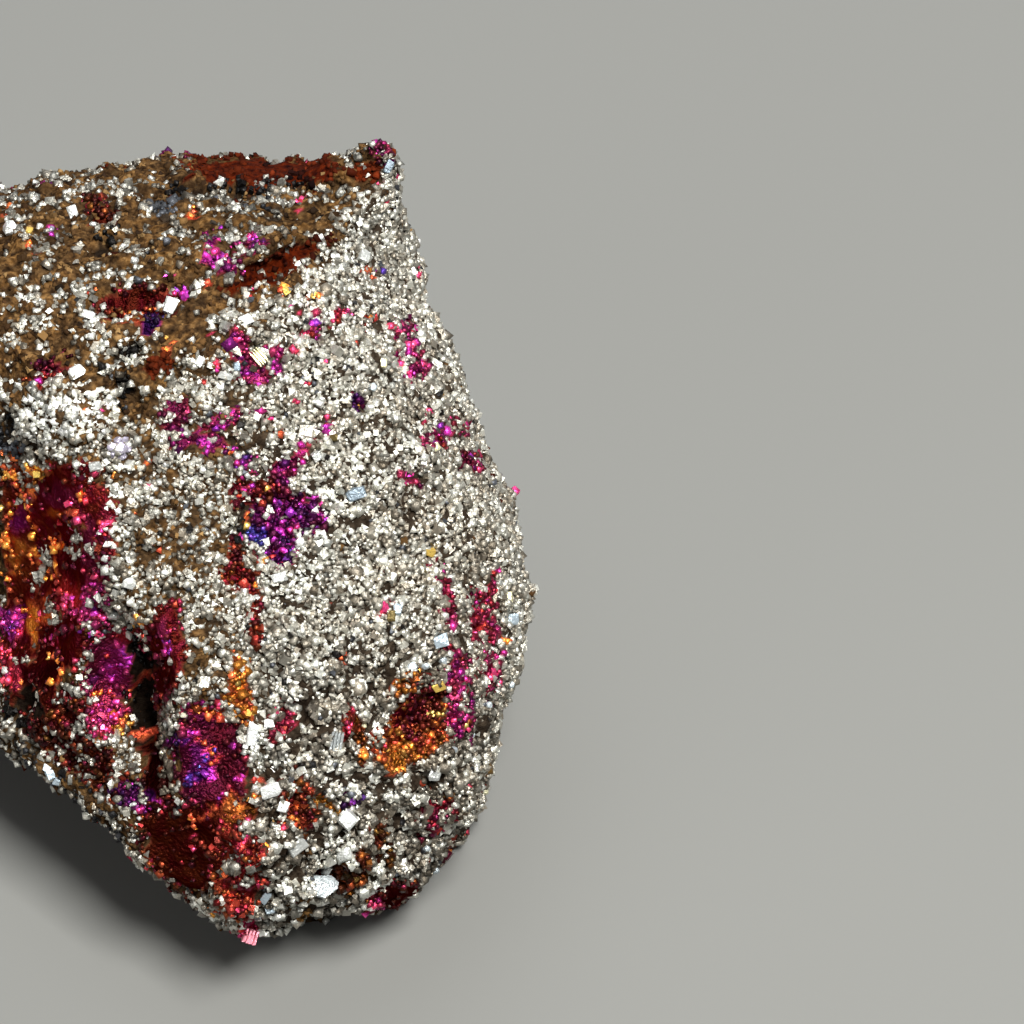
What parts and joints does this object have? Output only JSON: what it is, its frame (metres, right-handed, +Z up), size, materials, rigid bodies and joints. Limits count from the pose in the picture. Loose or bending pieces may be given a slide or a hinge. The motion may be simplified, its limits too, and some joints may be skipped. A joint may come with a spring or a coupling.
{
  "type": "peacock ore specimen",
  "caption": "Rough broken lump of granular sulphide ore with an iridescent tarnish, lying on a flat natural fracture; a display or collecting specimen.",
  "frame": {"origin": "middle of the lump's box, on the surface that it lies on", "axes": "+X to the right across the broken silver face, +Y away from the side that this face leans towards, +Z up; the face looks towards -Y and 52 degrees up"},
  "size_m": [0.0476, 0.046, 0.0324],
  "materials": {
    "granular_ore": "rough mass of tiny shiny silver-gold metallic crystals, tan matrix between layers, and magenta, violet and orange tarnish in patches and hollows"
  },
  "bodies": {
    "root": {"ore_lump": "granular_ore"}
  },
  "joints": []
}
